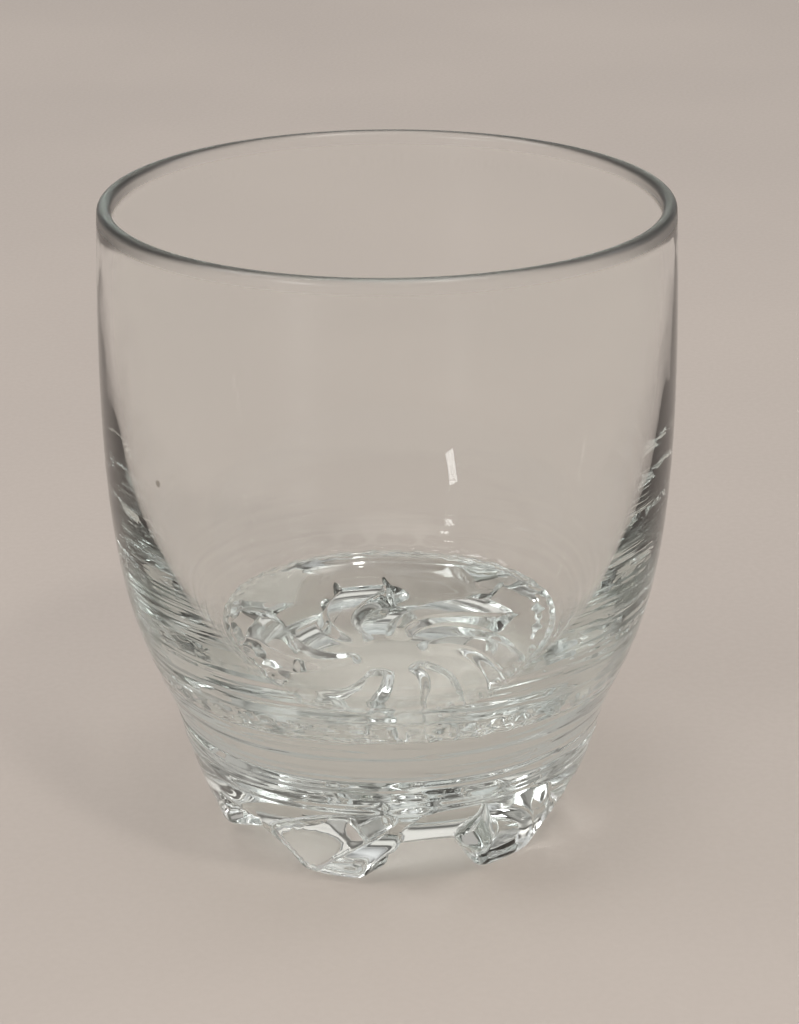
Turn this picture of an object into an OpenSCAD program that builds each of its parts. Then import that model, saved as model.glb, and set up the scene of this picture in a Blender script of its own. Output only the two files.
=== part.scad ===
// Pressed clear-glass tumbler, one piece of glass.
// A plain barrel-shaped cup stands on a thick base. Under the base, a domed
// hollow and six curved channels swirl out from the middle. The channels open
// as arches in the side of the foot, and what is left between them is six feet.
// Millimetres, +Z up, origin in the middle of the base at table height.

/* [Cup] */
// Height from the table to the rim
height = 90; // [86:1:96]
// Outside radius at the rim
rim_r = 38.3; // [37.5:0.1:39]
// Thickness of the wall at the rim
rim_wall = 1.9; // [1.6:0.1:2.4]
// How far out the side is drawn between the foot and the belly
belly_pull = 41.1; // [40.5:0.1:42]

/* [Inside] */
// Height of the flat inside floor above the table
floor_z = 25.6; // [24:0.2:27]
// Radius of the flat part of the floor
floor_r = 23; // [21:0.5:24]
// Radius where the rounded corner of the floor meets the side
corner_r = 27.3; // [26.5:0.1:28]
// Height of that ring above the floor
corner_rise = 2.1; // [1.6:0.1:2.6]

/* [Foot] */
// Height of the shallow crease between the cup and the foot
crease_z = 18; // [17:0.5:19]
// Outside radius at the crease
crease_r = 30.7; // [30.2:0.1:31.2]
// Outside radius of the feet where they touch the table
foot_r = 24.6; // [24:0.1:25.2]
// Inside radius of the feet where they touch the table
foot_inner_r = 20.6; // [19.5:0.1:21]
// Direction of the first foot, counted from +X
first_foot_angle = 11; // [0:1:59]

/* [Underside] */
// Number of feet, and of channels between them
feet = 6; // [5:1:7]
// Height of the domed hollow in the middle
dome_z = 8; // [7:0.5:9]
// Height of the channel roofs in the middle
roof_z = 10; // [9.5:0.5:11]
// Distance from the middle to the rounded tip of each channel
tip_r = 7; // [6:0.5:8]
// Width of a channel at its tip
tip_w = 3; // [2.6:0.2:3.4]
// Width of a channel where it reaches the arch
mouth_w = 9.5; // [8.5:0.5:10]
// How far a channel turns clockwise on its way out, seen from above
sweep = 36; // [26:1:42]
// Height of the arches in the side of the foot
arch_z = 6.8; // [5.5:0.2:7.2]
// Width of the arches at table height
arch_w = 17; // [14:0.5:18]

/* [Hidden] */
glass = "#d5dfdc";
eps = 0.5;
crease_depth = 0.35;
crease_h = 1.4;
round_n = 96;
pitch = 360 / feet;
channel_end_r = 24;
arch_out_r = 26.5;
arch_round = (pow(arch_w / 2, 2) + pow(arch_z, 2)) / (2 * arch_z);

// Point at t on a cubic curve with ends a, d and handles b, c
function curve_point(a, b, c, d, t) =
    pow(1 - t, 3) * a + 3 * t * pow(1 - t, 2) * b + 3 * t * t * (1 - t) * c + pow(t, 3) * d;
function curve(a, b, c, d, n) = [for (i = [0 : n]) curve_point(a, b, c, d, i / n)];
function smooth(t) = t * t * (3 - 2 * t);

// Outside of the foot, from the table up to the crease
foot_side = curve([foot_r, 0], [27.2, 6], [29.4, 12.5], [crease_r - crease_depth, crease_z - crease_h / 2], 8);
// Outside of the cup, from the crease up to the rim
cup_side = curve([crease_r, crease_z + crease_h / 2], [35.4, 30.4], [belly_pull, 36.2],
                 [rim_r, height - rim_wall / 2], 15);
// Half-round rim, from the outside over the top to the inside
rim = [for (a = [30 : 30 : 150]) [rim_r - rim_wall / 2 + rim_wall / 2 * cos(a),
                                  height - rim_wall / 2 + rim_wall / 2 * sin(a)]];
// Inside of the cup, from the rim down to the ring where the floor's corner starts
cup_inside = curve([rim_r - rim_wall, height - rim_wall / 2], [38.5, 53], [33.9, 38.1],
                   [corner_r, floor_z + corner_rise], 13);
// Rounded corner of the floor
floor_corner = curve([corner_r, floor_z + corner_rise], [26, floor_z + 0.6], [25, floor_z], [floor_r, floor_z], 5);
// Domed hollow under the base
dome_side = curve([0, dome_z], [10, dome_z], [17.5, 6], [foot_inner_r, 0], 10);
// Roof that all channels share, from the middle outwards
roof_side = curve([0, roof_z], [10, roof_z], [17, roof_z + 2], [channel_end_r, 7], 8);

// Direction of a channel's centre line at radius r
function channel_angle(r) = -sweep * smooth(min(1, (r - tip_r) / (channel_end_r - tip_r)));
function channel_half_w(r) = (tip_w + (mouth_w - tip_w) * (r - tip_r) / (channel_end_r - tip_r)) / 2;
function channel_point(r, side) =
    let (a = channel_angle(r) + side * channel_half_w(r) / r * 180 / PI) r * [cos(a), sin(a)];
channel_steps = 8;
channel_radii = [for (i = [0 : channel_steps]) tip_r + (channel_end_r - tip_r) * i / channel_steps];
// Outline from above: a round tip, one side going out and the other coming back
channel_outline = concat(
    [for (a = [-60 : 30 : 60]) [tip_r, 0] - tip_w / 2 * [cos(a), sin(a)]],
    [for (i = [0 : channel_steps]) channel_point(channel_radii[i], -1)],
    [for (i = [channel_steps : -1 : 0]) channel_point(channel_radii[i], 1)]);
// The first arch lies half a pitch before the first foot
arch_angle = first_foot_angle - pitch / 2;

// The glass without its hollows
module outer_form() {
    rotate_extrude($fn = round_n)
        polygon(concat([[0, 0]], foot_side, cup_side, rim, [[0, height - rim_wall / 2]]));
}

// The space inside the cup, open at the top
module inner_form() {
    rotate_extrude($fn = round_n)
        polygon(concat([[0, height + eps], [rim_r - rim_wall, height + eps]], cup_inside, floor_corner,
                       [[0, floor_z]]));
}

// The domed hollow between the feet
module dome() {
    rotate_extrude($fn = round_n)
        polygon(concat([[0, -eps]], dome_side, [[foot_inner_r, -eps]]));
}

// One curved channel: its outline carried up to the shared roof, with a round tip
module channel() {
    intersection() {
        translate([0, 0, -eps])
            linear_extrude(height = roof_z + 3 * eps)
                polygon(channel_outline);
        rotate_extrude($fn = round_n)
            polygon(concat([[0, -2 * eps]], roof_side, [[channel_end_r, -2 * eps]]));
    }
}

// The rounded arch that a channel opens into, scooped out of the side of the foot
module arch() {
    rotate([0, 0, -sweep])
        translate([arch_out_r, 0, arch_z - arch_round])
            sphere(r = arch_round, $fn = 48);
}

module tumbler() {
    color(glass)
        difference() {
            outer_form();
            inner_form();
            dome();
            for (i = [0 : feet - 1])
                rotate([0, 0, arch_angle + sweep + i * pitch]) {
                    channel();
                    arch();
                }
        }
}

tumbler();
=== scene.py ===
"""Pressed clear-glass tumbler with a swirled foot, on a plain pale table."""
import math

import bpy
import numpy as np
from mathutils import Matrix, Vector


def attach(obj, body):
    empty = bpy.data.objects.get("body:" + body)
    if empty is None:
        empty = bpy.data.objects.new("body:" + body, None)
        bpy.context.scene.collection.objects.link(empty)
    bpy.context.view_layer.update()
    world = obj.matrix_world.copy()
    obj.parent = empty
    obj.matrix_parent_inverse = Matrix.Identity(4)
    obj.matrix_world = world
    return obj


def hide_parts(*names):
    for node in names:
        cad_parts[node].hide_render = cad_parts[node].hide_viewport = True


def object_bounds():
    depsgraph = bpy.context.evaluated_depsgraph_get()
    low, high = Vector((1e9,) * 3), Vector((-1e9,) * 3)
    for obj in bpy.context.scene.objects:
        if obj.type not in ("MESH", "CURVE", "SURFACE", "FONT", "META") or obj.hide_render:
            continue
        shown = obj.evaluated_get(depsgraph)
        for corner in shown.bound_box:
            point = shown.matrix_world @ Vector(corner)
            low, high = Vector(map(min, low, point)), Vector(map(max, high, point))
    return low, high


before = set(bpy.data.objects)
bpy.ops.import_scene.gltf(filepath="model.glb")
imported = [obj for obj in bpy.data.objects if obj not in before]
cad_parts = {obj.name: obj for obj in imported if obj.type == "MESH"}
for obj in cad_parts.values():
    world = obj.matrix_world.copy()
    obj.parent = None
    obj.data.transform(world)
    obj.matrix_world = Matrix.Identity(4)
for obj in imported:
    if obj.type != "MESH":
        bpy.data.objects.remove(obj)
cad_low, cad_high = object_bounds()
scene = bpy.context.scene
MM = 0.001

# ---------------------------------------------------------------- camera
# Where the photograph was taken from, in the tumbler's own frame.
EYE = Vector((1.46, -320.0, 175.6)) * MM
LOOK_DOWN = math.radians(22.23)
ROLL = math.radians(-0.28)
FOCAL = 87.3
SENSOR = 36.0


def make_camera():
    data = bpy.data.cameras.new("camera")
    data.lens = FOCAL
    data.sensor_width = SENSOR
    data.sensor_fit = "AUTO"
    data.clip_start = 0.01
    data.clip_end = 100.0
    camera = bpy.data.objects.new("camera", data)
    tilt = Matrix.Rotation(math.pi / 2 - LOOK_DOWN, 4, "X")
    camera.matrix_world = Matrix.Translation(EYE) @ tilt @ Matrix.Rotation(ROLL, 4, "Z")
    scene.collection.objects.link(camera)
    scene.camera = camera


make_camera()

# ---------------------------------------------------------------- the tumbler's shape, in millimetres
HEIGHT = (cad_high[2] - cad_low[2]) / MM
RIM_R = 38.3
RIM_WALL = 1.9
FLOOR_Z = 25.6
FLOOR_R = 23.0
CORNER_R = 27.3
CORNER_RISE = 2.1
CREASE_Z = 18.0
CREASE_R = 30.7
CREASE_DEPTH = 0.35
CREASE_H = 1.4
FOOT_R = 24.6
FOOT_INNER_R = 20.6
FIRST_FOOT = math.radians(11)
FEET = 6
DOME_Z = 8.0
ROOF_Z = 10.0
TIP_R = 7.0
TIP_W = 3.0
MOUTH_W = 9.5
MOUTH_R = 24.0
SWEEP = math.radians(36)
ARCH_Z = 6.8
ARCH_W = 17.0
ARCH_OUT_R = 26.5
PITCH = 2 * math.pi / FEET

# How softly the moulded edges are rounded
TABLE_ROUND = 2.3
FOOT_ROUND = 2.8
ARCH_ROUND = 2.4
CHANNEL_SOFT = 0.9

# Chill ripples that the mould leaves round the base. Each wave has a height and a length, and it
# wanders up and down by so much, so many times round, from such an angle.
RIPPLES = ((0.050, 3.3, 1.1, 2, 0.4), (0.034, 1.9, 1.6, 3, 2.1), (0.018, 1.2, 2.3, 5, 0.9))
# They start at one height, are full between the next two and end at the last
RIPPLE_FOOT_Z = 11.0
RIPPLE_FULL_Z = 16.0
RIPPLE_FADE_Z = 20.0
RIPPLE_END_Z = 36.0
# Nearer the middle than this is the underside, which has no ripples
RIPPLE_INNER_R = 24.0

# The groove round the edge of the floor
GROOVE_R = 25.2
GROOVE_DEPTH = 0.7
# Its puckers: their height, how many of each of two kinds, and how far from the floor and from the top
# of the corner they reach their full height
PUCKER = 0.14
PUCKERS = 41
WIDE_PUCKERS = 23
PUCKER_IN = 1.5
PUCKER_OUT = 1.2

# Bring the measures that are blended close to true distances where the surface slants
WALL_LEAN = 0.93
UNDER_LEAN = 0.6
# How steeply the dome may run on below the table
DOME_STEEPEST = -6.0

# The underside is traced by rays from inside the base: straight down from HUB_R out to TRACE_R, then
# fanned round from there
TRACE_Z = 21.5
HUB_R = 0.02
TRACE_R = 15.0
TRACE_FAN = math.radians(92)
TRACE_RAYS = 700
TRACE_STEP = 0.5
TRACE_REACH = 34
TRACE_HALVINGS = 40

# Mesh density
SECTOR_COLUMNS = 60
BASE_ROWS = 152
RIPPLE_ROWS = 48
SIDE_ROWS = 12
RIM_ROWS = 9
INSIDE_ROWS = 24
CORNER_ROWS = 15
FLOOR_ROW_RADII = (20.0, 10.0, 1.0)
COLUMNS = FEET * SECTOR_COLUMNS
# Height left free above the traced rows, and above the ripples, before the next rows start
TRACE_GAP = 0.4
RIPPLE_GAP = 1.0


def curve(a, b, c, d, n):
    """n + 1 points on a cubic curve with ends a, d and handles b, c."""
    t = np.linspace(0, 1, n + 1)[:, None]
    a, b, c, d = (np.array(p, float) for p in (a, b, c, d))
    return (1 - t) ** 3 * a + 3 * t * (1 - t) ** 2 * b + 3 * t * t * (1 - t) * c + t ** 3 * d


def smooth(t):
    t = np.clip(t, 0, 1)
    return t * t * (3 - 2 * t)


def smooth_max(a, b, k):
    """The larger of a and b, rounded where they are within k of each other."""
    h = np.maximum(k - np.abs(a - b), 0) / k
    return np.maximum(a, b) + h * h * h * k / 6


# Outlines, as (radius, height)
RIM_Z = HEIGHT - RIM_WALL / 2
CREASE_LOW = (CREASE_R - CREASE_DEPTH, CREASE_Z - CREASE_H / 2)
CREASE_HIGH = (CREASE_R, CREASE_Z + CREASE_H / 2)
CORNER_TOP = (CORNER_R, FLOOR_Z + CORNER_RISE)
GROOVE_Z = FLOOR_Z - GROOVE_DEPTH
FOOT_SIDE = curve((FOOT_R, 0), (27.2, 6), (29.4, 12.5), CREASE_LOW, 400)
CUP_SIDE = curve(CREASE_HIGH, (35.4, 30.4), (41.1, 36.2), (RIM_R, RIM_Z), 800)
CUP_INSIDE = curve((RIM_R - RIM_WALL, RIM_Z), (38.5, 53), (33.9, 38.1), CORNER_TOP, 800)
GROOVE_OUTER = curve(CORNER_TOP, (26.4, FLOOR_Z + 0.7), (GROOVE_R + 0.8, GROOVE_Z), (GROOVE_R, GROOVE_Z), 40)
GROOVE_INNER = curve((GROOVE_R, GROOVE_Z), (GROOVE_R - 0.6, GROOVE_Z), (FLOOR_R + 0.9, FLOOR_Z),
                     (FLOOR_R, FLOOR_Z), 40)
FLOOR_CORNER = np.vstack([GROOVE_OUTER[:-1], GROOVE_INNER])
DOME_SIDE = curve((0, DOME_Z), (10, DOME_Z), (17.5, 6.0), (FOOT_INNER_R, 0), 400)
ROOF_SIDE = curve((0, ROOF_Z), (10, ROOF_Z), (17, 12.0), (MOUTH_R, 7), 400)
# The outside runs on below the table, so that the feet's lower edges can be rounded
OUTSIDE = np.vstack([[[FOOT_R - 1.5, -4.0]], FOOT_SIDE, CUP_SIDE])


def outside_radius(z):
    return np.interp(z, OUTSIDE[:, 1], OUTSIDE[:, 0])


def dome_height(r):
    steep = (DOME_SIDE[-1, 1] - DOME_SIDE[-2, 1]) / (DOME_SIDE[-1, 0] - DOME_SIDE[-2, 0])
    inside = np.interp(r, DOME_SIDE[:, 0], DOME_SIDE[:, 1])
    return np.where(r > FOOT_INNER_R, (r - FOOT_INNER_R) * max(steep, DOME_STEEPEST), inside)


def roof_height(r):
    return np.interp(r, ROOF_SIDE[:, 0], ROOF_SIDE[:, 1])


def swirl(r):
    """Direction of the channels' centre line at radius r, counted from where they start."""
    return -SWEEP * smooth((r - TIP_R) / (MOUTH_R - TIP_R))


def outside_glass(r, turn, z):
    """Below zero in the glass, above zero outside it. turn is the angle from a channel's centre line."""
    wall = (r - outside_radius(z)) * WALL_LEAN
    near = 0.05
    slant = np.cos(np.arctan(r * (swirl(r + near) - swirl(r - near)) / (2 * near)))
    across = np.abs(turn) * r * slant
    along = np.clip((r - TIP_R) / (MOUTH_R - TIP_R), 0, 1)
    half_w = (TIP_W + (MOUTH_W - TIP_W) * along) / 2
    edge = np.where(r < TIP_R, np.hypot(across, r - TIP_R) - half_w, across - half_w)
    depth = 1 - smooth((edge + CHANNEL_SOFT) / (2 * CHANNEL_SOFT))
    dome = dome_height(r)
    roof = np.maximum(roof_height(r), dome)
    under = (dome + (roof - dome) * depth - z) * UNDER_LEAN
    arch_round = ((ARCH_W / 2) ** 2 + ARCH_Z ** 2) / (2 * ARCH_Z)
    from_arch = np.sqrt((r * np.cos(turn) - ARCH_OUT_R) ** 2 + (r * np.sin(turn)) ** 2
                        + (z - ARCH_Z + arch_round) ** 2)
    arch = arch_round - from_arch
    shape = smooth_max(wall, under, FOOT_ROUND)
    shape = smooth_max(shape, arch, ARCH_ROUND)
    return smooth_max(shape, -z, TABLE_ROUND)


def spaced(path, n):
    """n + 1 points evenly along a path."""
    length = np.concatenate([[0], np.cumsum(np.hypot(*np.diff(path, axis=0).T))])
    at = np.linspace(0, length[-1], n + 1)
    return np.stack([np.interp(at, length, path[:, k]) for k in (0, 1)], -1)


def base_columns():
    """Traces the underside and the foot's side, from the middle out and up, in one column for each angle."""
    down = np.linspace(0, 1, TRACE_RAYS // 3, endpoint=False)
    fan = np.linspace(0, 1, TRACE_RAYS - len(down))
    start_r = np.concatenate([HUB_R + (TRACE_R - HUB_R) * down, np.full(len(fan), TRACE_R)])[:, None]
    angle = np.concatenate([np.full(len(down), -math.pi / 2), -math.pi / 2 + fan * TRACE_FAN])
    along_r, along_z = np.cos(angle)[:, None], np.sin(angle)[:, None]
    turn = ((np.arange(SECTOR_COLUMNS) / SECTOR_COLUMNS - 0.5) * PITCH)[None, :]

    def glass_at(distance):
        return outside_glass(np.abs(start_r + along_r * distance), turn, TRACE_Z + along_z * distance)

    # The first crossing along each ray, stepped to and then halved
    near = np.zeros((TRACE_RAYS, SECTOR_COLUMNS))
    far = np.zeros_like(near)
    found = np.zeros_like(near, bool)
    for step in np.arange(TRACE_STEP, TRACE_REACH, TRACE_STEP):
        hit = (glass_at(step) > 0) & ~found
        far[hit] = step
        near[hit] = step - TRACE_STEP
        found |= hit
    for _ in range(TRACE_HALVINGS):
        middle = (near + far) / 2
        value = glass_at(middle)
        near = np.where(value <= 0, middle, near)
        far = np.where(value > 0, middle, far)
    surface = np.stack([start_r + along_r * near, TRACE_Z + along_z * near], -1)
    rows = np.stack([spaced(surface[:, j], BASE_ROWS - 1) for j in range(SECTOR_COLUMNS)], 1)
    return rows[..., 0], rows[..., 1]


def rippled(r, angle, z):
    """Radius of the outside with its chill ripples, which fade out up the side and under the foot."""
    fade = smooth((z - RIPPLE_FOOT_Z) / (RIPPLE_FULL_Z - RIPPLE_FOOT_Z))
    fade = fade * (1 - smooth((z - RIPPLE_FADE_Z) / (RIPPLE_END_Z - RIPPLE_FADE_Z)))
    wave = sum(height * np.sin(2 * math.pi * z / length + wander * np.sin(turns * angle + start))
               for height, length, wander, turns, start in RIPPLES)
    return r + wave * fade


def puckered(r, angle, z):
    """Height of the floor's edge, uneven all round as pressed glass is."""
    ring = smooth((r - FLOOR_R) / PUCKER_IN) * (1 - smooth((r - CORNER_R + PUCKER_OUT) / PUCKER_OUT))
    wave = np.sin(PUCKERS * angle + 1.7 * np.sin(5 * angle)) + 0.5 * np.sin(WIDE_PUCKERS * angle + 1.1)
    return z + PUCKER * wave * ring


def upper_rows(start_z):
    """Outline from start_z up the side, over the rim and down to the floor, and how many rows are side."""
    lower = CUP_SIDE[(CUP_SIDE[:, 1] > start_z) & (CUP_SIDE[:, 1] < RIPPLE_END_Z)]
    upper = CUP_SIDE[CUP_SIDE[:, 1] > RIPPLE_END_Z + RIPPLE_GAP]
    side = np.vstack([spaced(lower, RIPPLE_ROWS), spaced(upper, SIDE_ROWS)])
    rim_turn = np.linspace(0, math.pi, RIM_ROWS + 2)[1:-1, None]
    rim_centre = np.array([RIM_R - RIM_WALL / 2, RIM_Z])
    rim = rim_centre + RIM_WALL / 2 * np.hstack([np.cos(rim_turn), np.sin(rim_turn)])
    inside = spaced(CUP_INSIDE, INSIDE_ROWS)[:-1]
    floor = np.array([[r, FLOOR_Z] for r in FLOOR_ROW_RADII])
    rows = np.vstack([side, rim, inside, spaced(FLOOR_CORNER, CORNER_ROWS), floor])
    return rows, len(side)


def tumbler_rows():
    """Radius, angle and height of all points, row by row from the middle underneath to the floor."""
    base_r, base_z = (np.tile(part, FEET) for part in base_columns())
    upper, side_rows = upper_rows(base_z[-1].mean() + TRACE_GAP)
    r = np.vstack([base_r, np.repeat(upper[:, :1], COLUMNS, 1)])
    z = np.vstack([base_z, np.repeat(upper[:, 1:], COLUMNS, 1)])
    turn = (np.arange(COLUMNS) / SECTOR_COLUMNS - 0.5) * PITCH
    first = FIRST_FOOT - PITCH / 2 + SWEEP
    angle = first + turn[None, :] + swirl(np.minimum(r, MOUTH_R))
    angle[BASE_ROWS:] = first + turn[None, :] - SWEEP
    outside = slice(0, BASE_ROWS + side_rows)
    r[outside] = np.where(r > RIPPLE_INNER_R, rippled(r, angle, z), r)[outside]
    floor = slice(len(r) - CORNER_ROWS - 1 - len(FLOOR_ROW_RADII), None)
    z[floor] = puckered(r, angle, z)[floor]
    return r, angle, z


def tumbler_mesh():
    r, angle, z = tumbler_rows()
    rows = len(r)
    points = np.stack([r * np.cos(angle), r * np.sin(angle), z], -1).reshape(-1, 3)
    middles = np.array([[0, 0, z[0].mean()], [0, 0, FLOOR_Z]])
    points = np.vstack([points, middles]) * MM
    i, j = np.meshgrid(np.arange(rows - 1), np.arange(COLUMNS), indexing="ij")
    here, beside = i * COLUMNS + j, i * COLUMNS + (j + 1) % COLUMNS
    quads = np.stack([here, beside, beside + COLUMNS, here + COLUMNS], -1).reshape(-1, 4)
    faces = quads.tolist()
    under_middle, floor_middle = rows * COLUMNS, rows * COLUMNS + 1
    last_row = (rows - 1) * COLUMNS
    for a in range(COLUMNS):
        b = (a + 1) % COLUMNS
        faces.append([under_middle, b, a])
        faces.append([last_row + a, last_row + b, floor_middle])
    mesh = bpy.data.meshes.new("tumbler_glass")
    mesh.from_pydata(points.tolist(), [], faces)
    mesh.validate()
    mesh.shade_smooth()
    return mesh


# ---------------------------------------------------------------- materials
def new_material(name):
    material = bpy.data.materials.new(name)
    material.use_nodes = True
    tree = material.node_tree
    return material, tree, tree.nodes["Principled BSDF"]


def add(tree, kind, **values):
    """Adds a node. Each value goes to the input of that name, or else to the node's own setting."""
    node = tree.nodes.new(kind)
    for key, value in values.items():
        if key in node.inputs:
            node.inputs[key].default_value = value
        else:
            setattr(node, key, value)
    return node


def link(tree, source, target):
    tree.links.new(source, target)


def noise(tree, where, scale, detail=2.0, stretch=(1, 1, 1)):
    """Grey noise over the object, in metres, drawn out along an axis where stretch is below 1."""
    shift = add(tree, "ShaderNodeMapping", Scale=stretch)
    link(tree, where, shift.inputs["Vector"])
    texture = add(tree, "ShaderNodeTexNoise", Scale=scale, Detail=detail)
    link(tree, shift.outputs[0], texture.inputs["Vector"])
    return texture.outputs["Fac"]


def fade(tree, value, low, high, start=0.0, end=1.0):
    """Goes smoothly from start to end as value goes from low to high."""
    node = add(tree, "ShaderNodeMapRange", interpolation_type="SMOOTHSTEP")
    for name, number in (("From Min", low), ("From Max", high), ("To Min", start), ("To Max", end)):
        node.inputs[name].default_value = number
    link(tree, value, node.inputs["Value"])
    return node.outputs[0]


def math_node(tree, operation, *values):
    node = add(tree, "ShaderNodeMath", operation=operation)
    for socket, value in zip(node.inputs, values):
        if isinstance(value, (int, float)):
            socket.default_value = value
        else:
            link(tree, value, socket)
    return node.outputs[0]


def mix_colour(tree, factor, a, b):
    node = add(tree, "ShaderNodeMix", data_type="RGBA")
    link(tree, factor, node.inputs["Factor"])
    for name, colour in (("A", a), ("B", b)):
        socket = next(x for x in node.inputs if x.name == name and x.type == "RGBA")
        if isinstance(colour, tuple):
            socket.default_value = colour
        else:
            link(tree, colour, socket)
    return next(x for x in node.outputs if x.type == "RGBA")


def glass_material():
    """Clear soda glass, faintly green where it is thick, with smudges, hairlines, dust and a worn rim."""
    material, tree, shader = new_material("clear_pressed_glass")
    shader.inputs["Transmission Weight"].default_value = 1.0
    shader.inputs["IOR"].default_value = 1.52
    absorb = add(tree, "ShaderNodeVolumeAbsorption", Color=(0.68, 0.80, 0.75, 1), Density=6.5)
    link(tree, absorb.outputs[0], tree.nodes["Material Output"].inputs["Volume"])
    place = add(tree, "ShaderNodeTexCoord").outputs["Object"]
    split = add(tree, "ShaderNodeSeparateXYZ")
    link(tree, place, split.inputs[0])
    height = split.outputs["Z"]
    upper = fade(tree, height, 0.042, 0.060)
    smudge = fade(tree, noise(tree, place, 48.0, 4.0), 0.56, 0.74)
    scratch = fade(tree, noise(tree, place, 620.0, 1.0, (1, 1, 0.035)), 0.735, 0.80)
    worn = math_node(tree, "MAXIMUM", math_node(tree, "MULTIPLY", smudge, 0.10),
                     math_node(tree, "MULTIPLY", scratch, 0.12))
    rim = fade(tree, height, 0.0868, 0.0884, 0.0, 0.30)
    worn = math_node(tree, "MAXIMUM", math_node(tree, "MULTIPLY", worn, upper), rim)
    link(tree, worn, shader.inputs["Roughness"])
    speck = add(tree, "ShaderNodeTexVoronoi", Scale=95.0)
    link(tree, place, speck.inputs["Vector"])
    dust = math_node(tree, "MULTIPLY", fade(tree, speck.outputs["Distance"], 0.035, 0.055, 1.0, 0.0),
                     fade(tree, noise(tree, place, 31.0, 1.0), 0.57, 0.60))
    tint = mix_colour(tree, dust, (0.985, 0.99, 0.985, 1), (0.30, 0.28, 0.25, 1))
    link(tree, tint, shader.inputs["Base Color"])
    waves = add(tree, "ShaderNodeBump", Strength=0.35, Distance=0.00012)
    link(tree, noise(tree, place, 110.0, 1.0, (1, 1, 0.6)), waves.inputs["Height"])
    link(tree, waves.outputs[0], shader.inputs["Normal"])
    return material


def table_material():
    """Pale painted board, a little uneven in tone and sheen."""
    material, tree, shader = new_material("pale_table")
    place = add(tree, "ShaderNodeTexCoord").outputs["Object"]
    cloud = fade(tree, noise(tree, place, 5.0, 3.0), 0.35, 0.65)
    grain = noise(tree, place, 900.0, 2.0)
    colour = mix_colour(tree, cloud, (0.405, 0.356, 0.322, 1), (0.430, 0.378, 0.340, 1))
    # Lighter right under the glass, for the light that the glass gathers there
    away = add(tree, "ShaderNodeVectorMath", operation="LENGTH")
    link(tree, place, away.inputs[0])
    near = fade(tree, away.outputs["Value"], 0.018, 0.025, 1.0, 0.0)
    colour = mix_colour(tree, near, colour, (0.58, 0.53, 0.49, 1))
    link(tree, colour, shader.inputs["Base Color"])
    link(tree, fade(tree, grain, 0.3, 0.7, 0.52, 0.66), shader.inputs["Roughness"])
    tooth = add(tree, "ShaderNodeBump", Strength=0.15, Distance=0.0001)
    link(tree, grain, tooth.inputs["Height"])
    link(tree, tooth.outputs[0], shader.inputs["Normal"])
    return material


# ---------------------------------------------------------------- pieces
glass = bpy.data.objects.new("tumbler_glass", tumbler_mesh())
scene.collection.objects.link(glass)
glass.data.materials.append(glass_material())
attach(glass, "root")
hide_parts("tumbler")


# ---------------------------------------------------------------- table, light
TABLE_R = 4.0
TABLE_PARTS = 96
TABLE_GAP = 0.0002
LIGHT_AIM = Vector((0, 0, 0.04))
# Tint of the room, and the even glow that it gives off
WARM = (1.03, 0.99, 0.94)
GLOW = (0.96, 0.94, 0.92, 1)


def make_table():
    """A round table top, just below the feet."""
    turns = [2 * math.pi * k / TABLE_PARTS for k in range(TABLE_PARTS)]
    points = [(0, 0, 0)] + [(TABLE_R * math.cos(turn), TABLE_R * math.sin(turn), 0) for turn in turns]
    mesh = bpy.data.meshes.new("table")
    mesh.from_pydata(points, [], [(0, k + 1, (k + 1) % TABLE_PARTS + 1) for k in range(TABLE_PARTS)])
    table = bpy.data.objects.new("table", mesh)
    table.location.z = cad_low[2] - TABLE_GAP
    mesh.materials.append(table_material())
    scene.collection.objects.link(table)


def area_light(name, place, size, power, colour=(1, 1, 1), seen_through=True, lean=0.0):
    """A light aimed at the glass. seen_through says whether its image shows through the glass."""
    data = bpy.data.lights.new(name, "AREA")
    data.shape = "RECTANGLE"
    data.size, data.size_y = size
    data.energy = power
    data.color = colour
    light = bpy.data.objects.new(name, data)
    place = Vector(place)
    light.location = place
    facing = (LIGHT_AIM - place).to_track_quat("-Z", "Y").to_matrix()
    light.rotation_euler = (facing @ Matrix.Rotation(lean, 3, "Z")).to_euler()
    light.visible_transmission = seen_through
    light.visible_camera = False
    scene.collection.objects.link(light)


def brightness(tree, rise, stops):
    """A warm grey that changes with height in the room. stops are (sine of the elevation, grey).

    The ramp's own white end stays in place just under the last stop, so from the last stop but one
    the room brightens to white overhead.
    """
    ramp = add(tree, "ShaderNodeValToRGB")
    link(tree, rise, ramp.inputs[0])
    elements = ramp.color_ramp.elements
    for index, (at, grey) in enumerate(stops):
        stop = elements[0] if index == 0 else elements.new(at)
        stop.color = [grey * part for part in WARM] + [1]
    return ramp.outputs[0]


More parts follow.
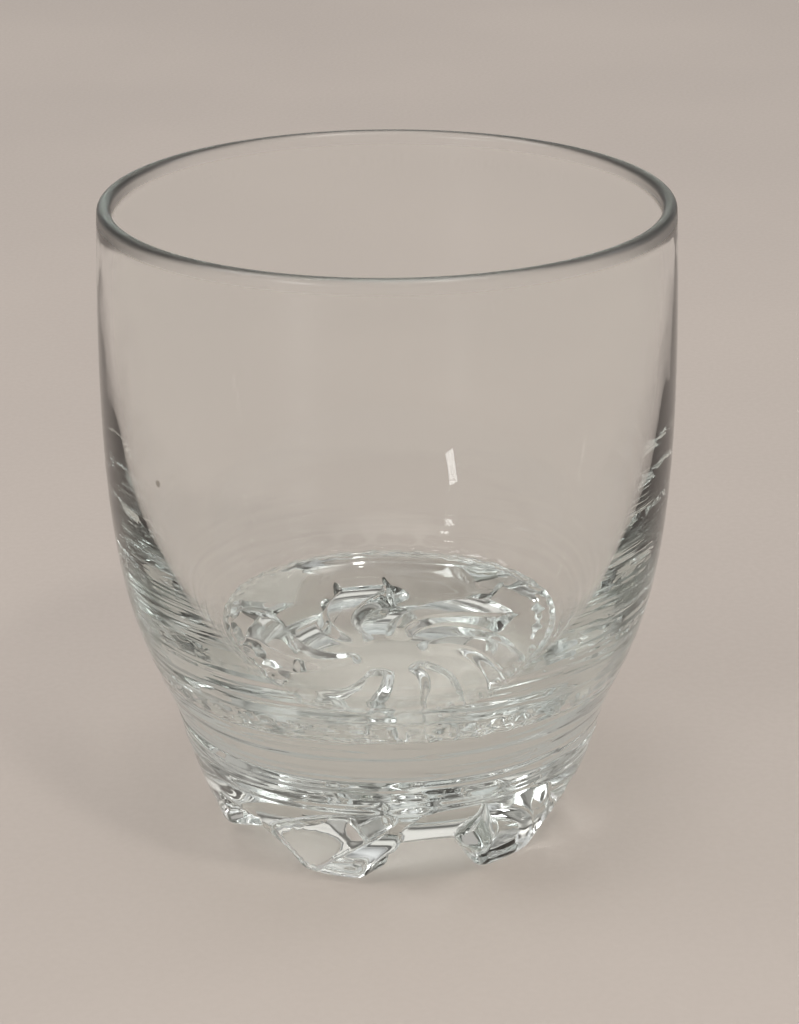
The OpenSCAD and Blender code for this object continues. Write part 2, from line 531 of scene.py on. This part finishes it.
def make_world():
    """A room in soft zones, pale all round low down and white straight overhead.

    Behind the glass there is a dark strip, then a bright band and a dark one. At the sides and on the
    viewer's side the room is mostly dark, with one bright band high up.
    """
    world = bpy.data.worlds.new("room")
    scene.world = world
    world.use_nodes = True
    tree = world.node_tree
    where = add(tree, "ShaderNodeTexCoord")
    split = add(tree, "ShaderNodeSeparateXYZ")
    link(tree, where.outputs["Generated"], split.inputs[0])
    rise = split.outputs["Z"]
    # Angle from the wall behind the glass, the same to either side
    turn = math_node(tree, "ABSOLUTE", math_node(tree, "ARCTAN2", split.outputs["X"], split.outputs["Y"]))
    behind = brightness(tree, rise, ((0.0, 0.44), (0.15, 0.44), (0.22, 0.46), (0.29, 0.10), (0.40, 0.10),
                                     (0.46, 0.60), (0.54, 0.88), (0.71, 0.84), (0.76, 0.02), (1.0, 0.02)))
    sides = brightness(tree, rise, ((0.0, 0.44), (0.155, 0.44), (0.22, 0.14), (0.29, 0.36), (0.44, 0.30),
                                    (0.50, 0.05), (0.79, 0.04), (0.83, 1.30), (0.89, 1.30), (0.93, 0.03),
                                    (1.0, 0.03)))
    front = brightness(tree, rise, ((0.0, 0.44), (0.155, 0.44), (0.24, 0.05), (0.52, 0.05), (0.58, 1.10),
                                    (0.66, 1.10), (0.72, 0.05), (1.0, 0.03)))
    room = mix_colour(tree, fade(tree, turn, 0.60, 0.95), behind, sides)
    room = mix_colour(tree, fade(tree, turn, 2.2, 2.5), room, front)
    # Scattered light, which is what lights the table, gets an even glow: the zones are what the glass shows
    scattered = add(tree, "ShaderNodeLightPath").outputs["Diffuse Depth"]
    bounced = math_node(tree, "GREATER_THAN", scattered, 0.5)
    link(tree, mix_colour(tree, bounced, room, GLOW), tree.nodes["Background"].inputs["Color"])


make_table()
make_world()
area_light("softbox_left", (-0.9, -0.2, 1.1), (0.5, 0.7), 4)
area_light("softbox_right", (1.2, 0.45, 0.9), (0.4, 0.6), 2, seen_through=False)
area_light("small_window", (-0.52, -0.78, 0.275), (0.07, 0.19), 1.0, lean=math.radians(28))
area_light("lamp", (0.35, -0.55, 1.2), (0.12, 0.12), 2.5, (1.0, 0.97, 0.92))

scene.view_settings.view_transform = "Standard"
scene.cycles.max_bounces = 24
scene.cycles.transmission_bounces = 20
scene.cycles.glossy_bounces = 12
scene.cycles.use_denoising = True
scene.cycles.sample_clamp_indirect = 8.0
scene.cycles.blur_glossy = 0.0
